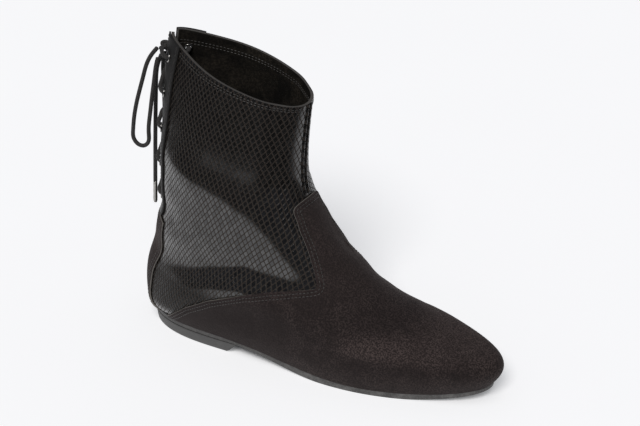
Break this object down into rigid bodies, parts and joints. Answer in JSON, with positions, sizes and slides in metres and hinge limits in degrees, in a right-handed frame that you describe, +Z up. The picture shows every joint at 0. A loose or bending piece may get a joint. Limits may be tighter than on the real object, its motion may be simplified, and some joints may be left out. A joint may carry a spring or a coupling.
{
  "type": "ankle boot",
  "caption": "Flat leather ankle boot for the right foot with a suede vamp, snake-embossed quarters and lacing down a slit at the back.",
  "frame": {"origin": "on the floor under the middle of the boot's box, free lace cords left out", "axes": "+X to the toe, +Y to the foot's inner side (left), +Z up"},
  "size_m": [0.2688, 0.0819, 0.2104],
  "materials": {
    "snake_leather": "embossed, semi-gloss",
    "suede": "napped, matt",
    "smooth_leather": "smooth, satin",
    "lining": "matt",
    "rubber": "matt",
    "lace": "braided",
    "metal": "dark, polished"
  },
  "bodies": {
    "root": {"upper": "snake_leather", "front_seam": "snake_leather", "vamp": "suede", "counter": "suede", "insole": "lining", "outsole": "rubber", "heel": "rubber", "facing_left": "smooth_leather", "facing_right": "smooth_leather", "lace_knot": "lace", "eyelet_left_1": "metal", "eyelet_left_2": "metal", "eyelet_left_3": "metal", "eyelet_left_4": "metal", "eyelet_left_5": "metal", "eyelet_right_1": "metal", "eyelet_right_2": "metal", "eyelet_right_3": "metal", "eyelet_right_4": "metal", "eyelet_right_5": "metal", "lace_cross_1": "lace", "lace_cross_2": "lace", "lace_cross_3": "lace", "lace_cross_4": "lace", "lace_loop_left": "lace", "lace_loop_right": "lace", "lace_end_left": "lace", "lace_end_right": "lace", "aglet_left": "metal", "aglet_right": "metal"}
  },
  "joints": []
}
